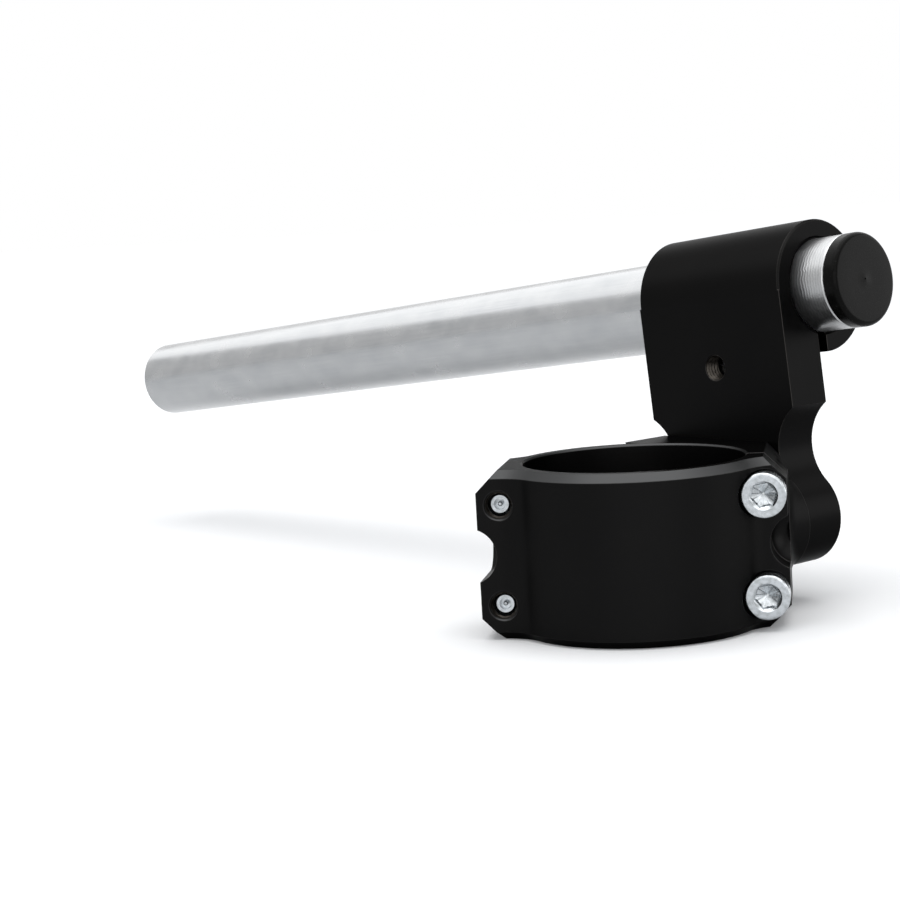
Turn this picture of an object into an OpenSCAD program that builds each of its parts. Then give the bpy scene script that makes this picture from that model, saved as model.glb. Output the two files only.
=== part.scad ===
// Clip-on handlebar for a motorbike fork: split fork clamp, riser with bar housing,
// bar tube with end plug, and the screws that hold them together. Millimetres.
// The frame sits on the fork axis at mid height of the clamp: +Z runs up the fork,
// +X along the clamp flanges to the inboard side, +Y from the loose clamp half to
// the half that carries the riser.

/* [Bar tube] */
// outside diameter of the bar tube
bar_d = 22.2; // [21:0.1:23]
// wall of the bar tube
bar_wall = 4; // [2:0.25:5]
// length of the bar tube
bar_len = 280; // [200:5:320]
// how far the tube passes the inboard face of the housing
bar_poke = 9.3; // [4:0.1:14]
// edge break at both ends of the tube
bar_edge = 0.5; // [0.2:0.1:1]
// how far the turned seat in the housing is smaller than the bar, over the diameter
bar_seat_under = 0.5; // [0.4:0.05:0.8]
// gap between the housing and the shoulder where the full bar begins
bar_shoulder_gap = 0.3; // [0.2:0.1:1]

/* [End plug] */
// thickness of the plug's head
plug_head_t = 3.5; // [2:0.1:5]
// how far the plug's head is smaller than the tube, over the diameter
plug_under = 0.2; // [0:0.1:1.5]
// rounding of the plug's rim
plug_round = 1.2; // [0.5:0.1:1.8]
// length of the plug's stem in the tube
plug_stem_len = 12; // [6:0.5:20]
// how far the plug's seat is wider than the tube's bore, over the diameter
plug_seat_over = 0.8; // [0.2:0.1:1.2]
// free depth of the plug's seat past the stem
plug_seat_free = 1; // [0.5:0.1:3]
// radius of the moulding mark in the middle of the plug
plug_pip_r = 1.1; // [0.6:0.1:2]

/* [Riser] */
// width of the riser along the bar
riser_w = 44; // [40:0.5:50]
// thickness of the riser's plate
plate_t = 12; // [11:0.25:14]
// height of the bar axis above the two lower foot screws
bar_rise = 52.8; // [48:0.2:65]
// wall of the housing around the bar
housing_wall = 4.4; // [4:0.1:6]
// outward droop of the bar, in degrees
bar_droop = 6; // [0:0.5:10]
// width of the pinch slit
slit_w = 3; // [1.5:0.1:3.5]
// thickness of the pinch jaw under the screw's head
jaw_t = 5.5; // [4:0.1:7]
// drop of the pinch screw below the outside of the housing
pinch_drop = 0.6; // [0:0.1:1.5]
// radius of the rounded lug under the pinch screw
lug_r = 10.2; // [8:0.1:12]
// how far the lug reaches below the pinch screw
lug_below = 5; // [4.5:0.1:6]
// half distance between the two lower foot screws
foot_screw_half = 11; // [10.5:0.1:12.5]
// height of the upper foot screw above the two lower ones
foot_screw_rise = 12.05; // [11:0.05:13]
// radius of the foot's two lobes
lobe_r = 11.3; // [10:0.1:12]
// half width of the waist between the foot and the plate
waist_half = 16.3; // [15:0.1:18]
// radius of the concave waist
waist_r = 12; // [9:0.25:13]
// edge break of the housing and the plate
riser_edge = 0.4; // [0.2:0.1:0.8]

/* [Fork clamp] */
// bore of the clamp, which is the fork's diameter
fork_d = 50; // [46:0.5:54]
// wall of the clamp ring
clamp_wall = 4; // [3.5:0.25:5]
// height of the clamp
clamp_h = 38; // [37:0.5:44]
// gap between the two halves
parting_gap = 0.6; // [0.4:0.1:1.5]
// thickness of the flanges under the screw heads
thin_flange_t = 7.6; // [6:0.1:9]
// thickness of the tapped flange of the loose half
thick_flange_t = 15; // [14:0.25:16]
// how far the flange ends lie outside the screw axes
flange_over = 5; // [4:0.25:7]
// corner chamfer of the clamp's outline
corner_chamfer = 4.9; // [3:0.1:6]
// chamfer along the clamp's upper and lower rims
rim_chamfer = 1.8; // [0.8:0.1:2.2]
// concave fillet between flange and ring
clamp_fillet = 9; // [8:0.25:10]
// height between the upper and lower clamp screws
clamp_pitch = 22.5; // [21.5:0.25:24]
// how far the clamp screws lie outside the fork bore
clamp_screw_over = 4; // [3.75:0.05:5]
// radius of the ball-milled notch in the flange ends
notch_r = 6.25; // [5:0.25:6.5]
// depth of that notch
notch_deep = 4.05; // [2:0.05:4.5]
// edge break at both ends of the fork bore
bore_edge = 0.4; // [0.2:0.1:1]

/* [Riser seat] */
// turn of the seat's normal from the flange direction, in degrees
seat_turn = 51.3; // [50:0.1:53]
// distance of the seat's face outside the fork bore
seat_over = 9.5; // [8.5:0.1:12]
// place of the riser's foot along the seat, inboard of the fork's axis
foot_side = -1.3; // [-3:0.1:3]
// height of the two lower foot screws over the middle of the clamp
foot_level = -0.7; // [-2:0.1:2]
// how far the seat is larger than the foot all round
seat_margin = 0.7; // [0.3:0.1:1.5]
// how far the upper part of the tapped block lies below the seat's face
block_relief = 0.4; // [0.2:0.1:1]
// step down from the seat's face to the lower part of the tapped block
block_step = 6.6; // [4:0.1:8]
// radius of the flare from the seat's inboard lobe into the flange end
flare_r = 8; // [5:0.25:10]
// radius of the ball-milled dish in the tapped block, beside the waist
dish_r = 9; // [7:0.25:10]

/* [Screws] */
// clamp and pinch screw size
m6_d = 6; // [6:0.1:6]
// cap screw head diameter
cap_d = 10; // [9.5:0.1:10.5]
// cap screw head height
cap_h = 6; // [5:0.1:7]
// hexagon socket of the small cap screws, across flats
cap_hex = 5; // [4:0.5:5]
// length of the clamp screws under the head
clamp_screw_len = 20; // [18:0.5:20.5]
// length of the pinch screw under the head
pinch_screw_len = 16; // [12:0.5:18]
// thread size of the two lower foot screws
m8_d = 8; // [7.8:0.1:8.2]
// head diameter of the two lower foot screws
m8_head_d = 16; // [15:0.1:16.5]
// overall length of the two lower foot screws
m8_len = 20; // [18:0.25:20]
// head diameter of the upper foot screw
m6_head_d = 12; // [11:0.1:12.5]
// overall length of the upper foot screw
m6_len = 16; // [15:0.5:20]
// how deep the large countersunk heads lie below the plate
m8_sink = 0.5; // [0.2:0.05:1]
// how deep the small countersunk head lies below the plate
m6_sink = 0.25; // [0.1:0.05:1]
// edge break of a countersunk head's rim
head_edge = 0.15; // [0.1:0.05:0.3]
// free space in a clearance hole, over the diameter
hole_play = 0.6; // [0.3:0.1:0.8]
// free space around a thread in its tapped hole, over the diameter
thread_play = 0.1; // [0.1:0.05:0.2]
// free space around a cap screw's head in its spotface, over the diameter
head_play = 0.7; // [0.3:0.1:1]
// free space of the tube in the riser's bore, over the diameter
bar_play = 0.1; // [0.1:0.05:0.3]
// free space past the tip of a screw in a blind hole
tip_play = 0.4; // [0.3:0.1:1]
// free space between a countersunk head's cone and its hole
cone_play = 0.12; // [0.1:0.02:0.2]

/* [Hidden] */
$fn = 72;
eps = 0.01;

// bar and housing, in the riser's own frame: x inboard, y out from the seat, z up
bar_r = bar_d / 2;
bar_bore_r = bar_r - bar_wall;
bar_seat_r = bar_r - bar_seat_under / 2;
bar_seat_len = riser_w + bar_poke + bar_shoulder_gap;
plug_seat_r = bar_bore_r + plug_seat_over / 2;
plug_seat_len = plug_stem_len + plug_seat_free;
housing_r = bar_r + housing_wall;
bar_y = housing_r;
bar_end_x = riser_w / 2 + bar_poke;
slit_y = plate_t;
jaw_y = slit_y + slit_w;
jaw_front = jaw_y + jaw_t;
pinch_z = bar_rise - housing_r - pinch_drop;
lug_z = pinch_z - lug_below + lug_r;

// foot outline
waist_x = waist_half + waist_r;
waist_z = sqrt(pow(lobe_r + waist_r, 2) - pow(waist_x - foot_screw_half, 2));

// clamp
fork_r = fork_d / 2;
ring_r = fork_r + clamp_wall;
top_z = clamp_h / 2;
half_gap = parting_gap / 2;
clamp_screw_x = fork_r + clamp_screw_over;
clamp_screw_z = clamp_pitch / 2;
flange_x = clamp_screw_x + flange_over;
notch_x = flange_x - notch_deep + notch_r;
clamp_reach = 4 * ring_r;

// seat
seat_w = fork_r + seat_over;
block_w = seat_w - block_step;
boss_depth = seat_over + clamp_wall + 0.5;

black = [0.11, 0.11, 0.12];
satin = [0.74, 0.75, 0.77];
zinc = [0.83, 0.85, 0.88];
plug_black = [0.09, 0.09, 0.09];

// places a child from the riser's frame, which leans by the droop, in the clamp's
module riser_place() {
    rotate([0, 0, seat_turn - 90])
        translate([foot_side, seat_w, foot_level])
            rotate([0, -bar_droop, 0])
                children();
}

// turns a child drawn along +Z so that it runs along -Y from y
module from_front(y) {
    translate([0, y, 0])
        rotate([90, 0, 0])
            children();
}

// outline of the riser's foot and plate: x and z of the riser, larger by grow
module foot_outline(grow, top) {
    half_w = riser_w / 2 + grow;
    difference() {
        polygon([
            [-half_w, top], [half_w, top], [half_w, waist_z], [waist_x, waist_z],
            [foot_screw_half, 0], [-foot_screw_half, 0], [-waist_x, waist_z],
            [-half_w, waist_z]
        ]);
        for (side = [-1, 1])
            translate([side * waist_x, waist_z])
                circle(r = waist_r - grow);
    }
    for (side = [-1, 1])
        translate([side * foot_screw_half, 0])
            circle(r = lobe_r + grow);
    translate([-foot_screw_half, -lobe_r - grow])
        square([2 * foot_screw_half, lobe_r + grow]);
}

// round bar of radius r from z0 to z1 with both edges broken
module broken_rod(r, z0, z1, edge) {
    rotate_extrude()
        polygon([
            [0, z0], [r - edge, z0], [r, z0 + edge],
            [r, z1 - edge], [r - edge, z1], [0, z1]
        ]);
}

// cap screw: the head's seat is at z = 0, the head above it, the shank below
module cap_screw(len) {
    difference() {
        union() {
            rotate_extrude()
                polygon([
                    [0, 0], [cap_d / 2 - 0.2, 0], [cap_d / 2, 0.2],
                    [cap_d / 2, cap_h - 0.5], [cap_d / 2 - 0.5, cap_h], [0, cap_h]
                ]);
            rotate_extrude()
                polygon([
                    [0, 0.5], [m6_d / 2, 0.5], [m6_d / 2, 0.85 - len],
                    [m6_d / 2 - 0.85, -len], [0, -len]
                ]);
        }
        translate([0, 0, cap_h - 3])
            cylinder(d = cap_hex / cos(30), h = 4, $fn = 6);
        // the drill's cone under the socket
        rotate_extrude()
            polygon([[0, cap_h - 4.2], [cap_hex / 2 - 0.1, cap_h - 2.9], [0, cap_h - 2.9]]);
    }
}

// countersunk screw: the head's flat face is at z = 0, the rest below
module flat_screw(d, head_d, hex, len) {
    cone_h = (head_d - d) / 2;
    difference() {
        rotate_extrude()
            polygon([
                [0, 0], [head_d / 2 - head_edge, 0], [head_d / 2, -head_edge],
                [d / 2, -cone_h - head_edge], [d / 2, 1 - len], [d / 2 - 1, -len], [0, -len]
            ]);
        translate([0, 0, -0.55 * hex])
            cylinder(d = hex / cos(30), h = hex, $fn = 6);
        rotate_extrude()
            polygon([
                [0, -0.55 * hex - 1], [hex / 2 - 0.1, -0.55 * hex + 0.1], [0, -0.55 * hex + 0.1]
            ]);
    }
}

// hole for a countersunk screw: z = 0 is the plate's face
module flat_screw_hole(d, head_d, sink, depth) {
    mouth_r = head_d / 2 + head_edge + cone_play + sink;
    hole_r = (d + hole_play) / 2;
    translate([0, 0, -depth])
        cylinder(r = hole_r, h = depth + 1);
    rotate_extrude()
        polygon([
            [0, 1], [mouth_r, 1], [mouth_r, 0], [hole_r, hole_r - mouth_r], [0, hole_r - mouth_r]
        ]);
}

module handlebar_tube() {
    step = bar_r - bar_seat_r;
    color(satin)
        riser_place()
            translate([bar_end_x, bar_y, bar_rise])
                rotate([0, -90, 0])
                    rotate_extrude()
                        polygon([
                            [plug_seat_r + bar_edge, 0], [bar_seat_r - bar_edge, 0],
                            [bar_seat_r, bar_edge], [bar_seat_r, bar_seat_len - step],
                            [bar_r, bar_seat_len], [bar_r, bar_len - bar_edge],
                            [bar_r - bar_edge, bar_len], [bar_bore_r + bar_edge, bar_len],
                            [bar_bore_r, bar_len - bar_edge], [bar_bore_r, plug_seat_len],
                            [plug_seat_r, plug_seat_len], [plug_seat_r, bar_edge]
                        ]);
}

module bar_end_plug() {
    r = bar_seat_r - plug_under / 2;
    stem_r = plug_seat_r - 0.05;
    color(plug_black)
        riser_place()
            translate([bar_end_x, bar_y, bar_rise])
                rotate([0, 90, 0])
                    difference() {
                        union() {
                            cylinder(r = r, h = plug_head_t - plug_round);
                            cylinder(r = r - plug_round, h = plug_head_t);
                            translate([0, 0, plug_head_t - plug_round])
                                rotate_extrude()
                                    translate([r - plug_round, 0])
                                        circle(r = plug_round, $fn = 48);
                            rotate_extrude()
                                polygon([
                                    [0, 1], [stem_r, 1], [stem_r, 1 - plug_stem_len],
                                    [stem_r - 1, -plug_stem_len], [0, -plug_stem_len]
                                ]);
                        }
                        // shallow dimple around the moulding mark
                        translate([0, 0, plug_head_t - 0.25])
                            difference() {
                                cylinder(r = plug_pip_r + 0.7, h = 1);
                                translate([0, 0, -1])
                                    cylinder(r = plug_pip_r, h = 3);
                            }
                    }
}

module riser() {
    color(black)
        riser_place()
            difference() {
                union() {
                    from_front(plate_t)
                        linear_extrude(plate_t)
                            foot_outline(0, bar_rise);
                    translate([-riser_w / 2, bar_y, bar_rise])
                        rotate([0, 90, 0])
                            broken_rod(housing_r, 0, riser_w, riser_edge);
                    // lug under the pinch screw
                    translate([0, 0, lug_z])
                        from_front(jaw_front)
                            cylinder(r = lug_r, h = jaw_t);
                }
                // bore for the bar, with its bright edges
                translate([0, bar_y, bar_rise])
                    rotate([0, 90, 0])
                        cylinder(r = bar_seat_r + bar_play / 2, h = riser_w + 2, center = true);
                for (side = [0, 1])
                    mirror([side, 0, 0])
                        translate([riser_w / 2, bar_y, bar_rise])
                            rotate([0, -90, 0])
                                rotate_extrude()
                                    polygon([
                                        [0, -1], [bar_r + 0.5, -1], [bar_r + 0.5, 0],
                                        [bar_r, 0.5], [0, 0.5]
                                    ]);
                // pinch slit, from the bore down past the lug
                translate([-riser_w, slit_y, pinch_z - lug_r])
                    cube([2 * riser_w, slit_w, bar_rise - pinch_z + lug_r]);
                // the pinch screw's hole, thread and spotface
                translate([0, 0, pinch_z]) {
                    from_front(jaw_front + 1)
                        cylinder(d = m6_d + hole_play, h = jaw_t + 2);
                    from_front(plate_t + 1)
                        cylinder(d = m6_d + thread_play, h = plate_t + 2);
                    from_front(jaw_front + 3 * cap_h)
                        cylinder(d = cap_d + head_play, h = 3 * cap_h);
                }
                // foot screws
                for (side = [-1, 1])
                    translate([side * foot_screw_half, plate_t, 0])
                        rotate([-90, 0, 0])
                            flat_screw_hole(m8_d, m8_head_d, m8_sink, plate_t + 1);
                translate([0, plate_t, foot_screw_rise])
                    rotate([-90, 0, 0])
                        flat_screw_hole(m6_d, m6_head_d, m6_sink, plate_t + 1);
            }
}

// the clamp's outline from the front: a rectangle with chamfered corners
module clamp_envelope() {
    c = corner_chamfer;
    from_front(clamp_reach)
        linear_extrude(2 * clamp_reach)
            polygon([
                [-flange_x, c - top_z], [c - flange_x, -top_z], [flange_x - c, -top_z],
                [flange_x, c - top_z], [flange_x, top_z - c], [flange_x - c, top_z],
                [c - flange_x, top_z], [-flange_x, top_z - c]
            ]);
}

// the clamp ring with chamfered rims, and its bore
module ring_body() {
    c = rim_chamfer;
    rotate_extrude($fn = 144)
        polygon([
            [0, -top_z], [ring_r - c, -top_z], [ring_r, c - top_z],
            [ring_r, top_z - c], [ring_r - c, top_z], [0, top_z]
        ]);
}

module fork_bore() {
    translate([0, 0, -top_z - 1])
        cylinder(r = fork_r, h = clamp_h + 2, $fn = 144);
    for (end = [0, 1])
        mirror([0, 0, end])
            rotate_extrude($fn = 144)
                polygon([
                    [0, top_z + 1], [fork_r + bore_edge, top_z + 1], [fork_r + bore_edge, top_z],
                    [fork_r, top_z - bore_edge], [0, top_z - bore_edge]
                ]);
}

// one flange arm towards +X and -Y, of thickness t, with its fillet into the ring
module flange_arm(t) {
    c = rim_chamfer;
    fillet_y = t + clamp_fillet;
    fillet_x = sqrt(pow(ring_r + clamp_fillet, 2) - pow(fillet_y, 2));
    rotate([90, 0, 90])
        linear_extrude(flange_x)
            polygon([
                [0, -top_z], [c - t, -top_z], [-t, c - top_z],
                [-t, top_z - c], [c - t, top_z], [0, top_z]
            ]);
    difference() {
        translate([0, 0, -top_z])
            linear_extrude(clamp_h)
                polygon([[0, 0], [fillet_x, 0], [fillet_x, -fillet_y]]);
        translate([fillet_x, -fillet_y, 0])
            rotate_extrude($fn = 96)
                polygon([
                    [0, -top_z - 1], [clamp_fillet + c + 1, -top_z - 1],
                    [clamp_fillet, c - top_z], [clamp_fillet, top_z - c],
                    [clamp_fillet + c + 1, top_z + 1], [0, top_z + 1]
                ]);
    }
}

// everything on the loose half's side of the parting plane
module front_space() {
    translate([-clamp_reach, -clamp_reach - half_gap, -top_z - 1])
        cube([2 * clamp_reach, clamp_reach, clamp_h + 2]);
}

module rear_space() {
    translate([-clamp_reach, half_gap, -top_z - 1])
        cube([2 * clamp_reach, clamp_reach, clamp_h + 2]);
}

// clamp screw holes at one side, seen from the head: y runs towards the head
module clamp_holes(seat_y, tapped_from, tapped_to) {
    for (side = [-1, 1])
        translate([0, 0, side * clamp_screw_z]) {
            from_front(seat_y + eps)
                cylinder(d = m6_d + hole_play, h = seat_y + eps);
            from_front(seat_y + clamp_reach)
                cylinder(d = cap_d + head_play, h = clamp_reach);
            from_front(tapped_from)
                cylinder(d = m6_d + thread_play, h = tapped_from - tapped_to);
        }
}

module clamp_outer_half() {
    tip_y = thin_flange_t - clamp_screw_len;
    color(black)
        difference() {
            intersection() {
                union() {
                    ring_body();
                    flange_arm(thin_flange_t);
                    mirror([1, 0, 0])
                        flange_arm(thick_flange_t);
                }
                clamp_envelope();
                front_space();
            }
            fork_bore();
            // inboard side: heads on this half
            mirror([0, 1, 0])
                translate([clamp_screw_x, 0, 0])
                    clamp_holes(thin_flange_t, 0, -1);
            // outboard side: tapped right through, with a countersunk mouth
            for (side = [-1, 1])
                translate([-clamp_screw_x, 0, side * clamp_screw_z]) {
                    from_front(0)
                        cylinder(d = m6_d + thread_play, h = thick_flange_t + 1);
                    translate([0, -thick_flange_t, 0])
                        rotate([-90, 0, 0])
                            rotate_extrude()
                                polygon([
                                    [0, -1], [m6_d / 2 + 0.4, -1], [m6_d / 2 + 0.4, 0],
                                    [m6_d / 2, 0.4], [0, 0.4]
                                ]);
                }
            for (side = [-1, 1])
                translate([side * notch_x, clamp_reach, 0])
                    rotate([90, 0, 0])
                        cylinder(r = notch_r, h = 2 * clamp_reach);
        }
}

// plan outline of the tapped block, up to distance w along the seat's normal
module block_plan(w) {
    x0 = fork_r - 5;
    polygon([
        [x0, 0], [flange_x, 0],
        [flange_x, (w - flange_x * cos(seat_turn)) / sin(seat_turn)],
        [x0, (w - x0 * cos(seat_turn)) / sin(seat_turn)]
    ]);
}

// tapped block of the inner half, under and beside the riser's seat
module tapped_block() {
    step_z = waist_z - dish_r - 2;
    translate([0, 0, -top_z])
        linear_extrude(clamp_h)
            block_plan(block_w);
    translate([0, 0, step_z])
        linear_extrude(top_z - step_z)
            block_plan(seat_w - block_relief);
}

// flare about the inboard foot screw: a cone that leaves the seat's lobe by a fillet
// and runs into the flange end
module lobe_flare() {
    lobe_out = lobe_r + seat_margin;
    lobe_s = foot_screw_half + lobe_out;
    turn = 90 - seat_turn;
    meet_w = (flange_x - (lobe_s + foot_side) * sin(seat_turn)) / cos(seat_turn);
    arc_w = meet_w + flare_r * tan(turn / 2);
    low_w = fork_r / 2;
    end_r = lobe_out + flare_r * (1 - cos(turn));
    end_w = arc_w - flare_r * sin(turn);
    riser_place()
        translate([foot_screw_half, -seat_w, 0])
            rotate([-90, 0, 0])
                rotate_extrude()
                    difference() {
                        polygon([
                            [0, low_w], [end_r + (end_w - low_w) * tan(turn), low_w],
                            [end_r, end_w], [lobe_out + flare_r, arc_w], [0, arc_w]
                        ]);
                        translate([lobe_out + flare_r, arc_w])
                            circle(r = flare_r);
                    }
}

module clamp_inner_half() {
    dish_x = waist_half + seat_margin / 2 + dish_r;
    color(black)
        difference() {
            intersection() {
                union() {
                    ring_body();
                    mirror([1, 0, 0])
                        mirror([0, 1, 0])
                            flange_arm(thin_flange_t);
                    tapped_block();
                    lobe_flare();
                    // the seat that the riser's foot stands on
                    riser_place()
                        from_front(0)
                            linear_extrude(boss_depth)
                                foot_outline(seat_margin, clamp_h);
                }
                clamp_envelope();
                rear_space();
            }
            fork_bore();
            // ball-milled dish beside the waist
            riser_place()
                translate([dish_x, 1, waist_z])
                    sphere(r = dish_r, $fn = 96);
            // outboard side: heads on this half
            translate([-clamp_screw_x, 0, 0])
                clamp_holes(thin_flange_t, 0, -1);
            // inboard side: blind threads for the two screws of the loose half
            for (side = [-1, 1])
                translate([clamp_screw_x, 0, side * clamp_screw_z])
                    from_front(clamp_screw_len - thin_flange_t + tip_play)
                        cylinder(d = m6_d + thread_play, h = clamp_screw_len);
            // blind threads for the foot screws
            riser_place() {
                for (side = [-1, 1])
                    translate([side * foot_screw_half, 0, 0])
                        from_front(1)
                            cylinder(
                                d = m8_d + thread_play,
                                h = 1 + m8_len + m8_sink - plate_t + tip_play
                            );
                translate([0, 0, foot_screw_rise])
                    from_front(1)
                        cylinder(
                            d = m6_d + thread_play,
                            h = 1 + m6_len + m6_sink - plate_t + tip_play
                        );
            }
            for (side = [-1, 1])
                translate([side * notch_x, half_gap, 0])
                    sphere(r = notch_r, $fn = 96);
        }
}

module pinch_screw() {
    color(zinc)
        riser_place()
            translate([0, jaw_front, pinch_z])
                rotate([-90, 0, 0])
                    cap_screw(pinch_screw_len);
}

module foot_screw(x, z, d, head_d, hex, sink, len) {
    color(zinc)
        riser_place()
            translate([x, plate_t - sink, z])
                rotate([-90, 0, 0])
                    flat_screw(d, head_d, hex, len);
}

module riser_screw_inboard() {
    foot_screw(foot_screw_half, 0, m8_d, m8_head_d, 5, m8_sink, m8_len);
}

module riser_screw_outboard() {
    foot_screw(-foot_screw_half, 0, m8_d, m8_head_d, 5, m8_sink, m8_len);
}

module riser_screw_upper() {
    foot_screw(0, foot_screw_rise, m6_d, m6_head_d, 4, m6_sink, m6_len);
}

// clamp screw: inboard ones have their heads on the loose half, outboard ones behind
module clamp_screw(side, level) {
    color(zinc)
        translate([side * clamp_screw_x, -side * thin_flange_t, level * clamp_screw_z])
            rotate([side * 90, 0, 0])
                cap_screw(clamp_screw_len);
}

module clamp_screw_inboard_upper() {
    clamp_screw(1, 1);
}

module clamp_screw_inboard_lower() {
    clamp_screw(1, -1);
}

module clamp_screw_outboard_upper() {
    clamp_screw(-1, 1);
}

module clamp_screw_outboard_lower() {
    clamp_screw(-1, -1);
}

handlebar_tube();
bar_end_plug();
riser();
clamp_inner_half();
clamp_outer_half();
pinch_screw();
riser_screw_inboard();
riser_screw_outboard();
riser_screw_upper();
clamp_screw_inboard_upper();
clamp_screw_inboard_lower();
clamp_screw_outboard_upper();
clamp_screw_outboard_lower();
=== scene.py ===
# %% [markdown]
# # A clip-on handlebar half for a motorbike fork
#
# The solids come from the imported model: a split clamp that grips the fork, a riser that
# stands on one clamp half and holds the bar in a slotted housing, the bar tube and the
# screws. This file gives them their finishes, and builds the turned parts anew with the
# detail that the solids leave out, such as threads, knurls and sockets. One small flare beside
# the clamp's flange and the threads in three open holes are pieces of its own.
# Everything is in metres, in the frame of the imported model.

# %% The frame
import math

import bmesh
import bpy
import numpy as np
from mathutils import Matrix


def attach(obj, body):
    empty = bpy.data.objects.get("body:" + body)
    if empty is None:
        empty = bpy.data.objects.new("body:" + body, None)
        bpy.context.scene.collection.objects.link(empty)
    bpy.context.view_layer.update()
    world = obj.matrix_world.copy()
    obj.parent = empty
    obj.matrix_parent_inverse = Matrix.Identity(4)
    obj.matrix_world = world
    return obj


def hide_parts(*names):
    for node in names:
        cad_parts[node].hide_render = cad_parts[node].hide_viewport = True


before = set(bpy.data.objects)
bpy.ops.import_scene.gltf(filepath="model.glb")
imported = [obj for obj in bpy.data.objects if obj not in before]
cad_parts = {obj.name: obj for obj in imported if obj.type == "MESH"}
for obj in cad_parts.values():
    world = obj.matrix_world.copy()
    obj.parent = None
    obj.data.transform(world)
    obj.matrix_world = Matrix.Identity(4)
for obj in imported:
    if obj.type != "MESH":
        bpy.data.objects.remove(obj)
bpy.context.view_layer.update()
MM = 0.001
print("solids:", ", ".join(sorted(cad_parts)))

# %% [markdown]
# ## Where the riser stands
#
# The riser's own frame is handy for all that belongs to it: x runs inboard along the bar,
# y away from the clamp, z up the plate. It is turned by the seat, moved out from the fork's
# axis, and leans by the bar's droop. One small function takes points from that frame to the
# frame of the model, so that no piece is fitted by eye. The sizes are those of the model's own
# source, in millimetres.

# %% Driving sizes in millimetres
SEAT_TURN = math.radians(51.3)
BAR_DROOP = math.radians(6.0)
SEAT_W = 34.5
FOOT_SIDE = -1.3
FOOT_LEVEL = -0.7
RISER_W = 44.0
PLATE_T = 12.0
BAR_RISE = 52.8
BAR_R = 11.1
BAR_WALL = 4.0
BAR_LEN = 280.0
BAR_POKE = 9.3
SEAT_UNDER = 0.25
SEAT_LEN = BAR_POKE + RISER_W + 0.3
PLUG_SEAT_OVER = 0.8
PLUG_SEAT_LEN = 13.0
HOUSING_R = 15.5
PINCH_Z = 36.7
JAW_FRONT = 20.5
FOOT_SCREW_HALF = 11.0
FOOT_SCREW_RISE = 12.05
CLAMP_SCREW_X = 29.0
CLAMP_SCREW_Z = 11.25
THIN_FLANGE_T = 7.6
THICK_FLANGE_T = 15.0


def riser_matrix():
    """Riser frame to model frame: lean by the droop about y, move out, turn to the seat."""
    lean = Matrix.Rotation(-BAR_DROOP, 4, "Y")
    out = Matrix.Translation((FOOT_SIDE * MM, SEAT_W * MM, FOOT_LEVEL * MM))
    turn = Matrix.Rotation(SEAT_TURN - math.pi / 2, 4, "Z")
    return turn @ out @ lean


def along(origin, direction, spin=0.0):
    """Matrix whose z axis runs along direction from origin (in mm), turned by spin about it."""
    z = np.array(direction, float)
    z /= np.linalg.norm(z)
    helper = np.array([0.0, 0.0, 1.0]) if abs(z[2]) < 0.9 else np.array([1.0, 0.0, 0.0])
    x = np.cross(helper, z)
    x /= np.linalg.norm(x)
    y = np.cross(z, x)
    m = Matrix.Identity(4)
    for row in range(3):
        m[row][0], m[row][1], m[row][2] = x[row], y[row], z[row]
        m[row][3] = origin[row] * MM
    return m @ Matrix.Rotation(spin, 4, "Z")


RISER = riser_matrix()
print("riser frame origin:", [round(v, 4) for v in RISER.translation])

# %% [markdown]
# ## Turned surfaces
#
# A screw or a plug is a surface of revolution with small departures: a hexagon where the
# socket is, a knurl round the head, a thread round the shank. So one function takes a grid
# of radii and heights, angle by angle along the profile, and closes it into a mesh. The
# grid also gives each point a UV place: the turn in u, the length along the profile in v,
# which the materials use for turning marks.

# %% Grid to mesh
SHARP_EDGE = math.radians(28)


def finished(name, mesh, matrix, material, sharp=SHARP_EDGE):
    """Mesh put in its place, smooth up to the sharp angle, as an object that rides on the body."""
    mesh.transform(matrix)
    mesh.polygons.foreach_set("use_smooth", np.ones(len(mesh.polygons), bool))
    mesh.set_sharp_from_angle(angle=sharp)
    mesh.materials.append(material)
    mesh.update()
    piece = bpy.data.objects.new(name, mesh)
    bpy.context.scene.collection.objects.link(piece)
    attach(piece, "root")
    print(name, len(mesh.polygons), "faces")
    return piece


def profile_length(radius, height):
    """Running length of a profile in mm: the root of the summed squares of its steps."""
    steps = np.hypot(np.diff(radius), np.diff(height))
    return np.concatenate([[0.0], np.cumsum(steps)])


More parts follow.
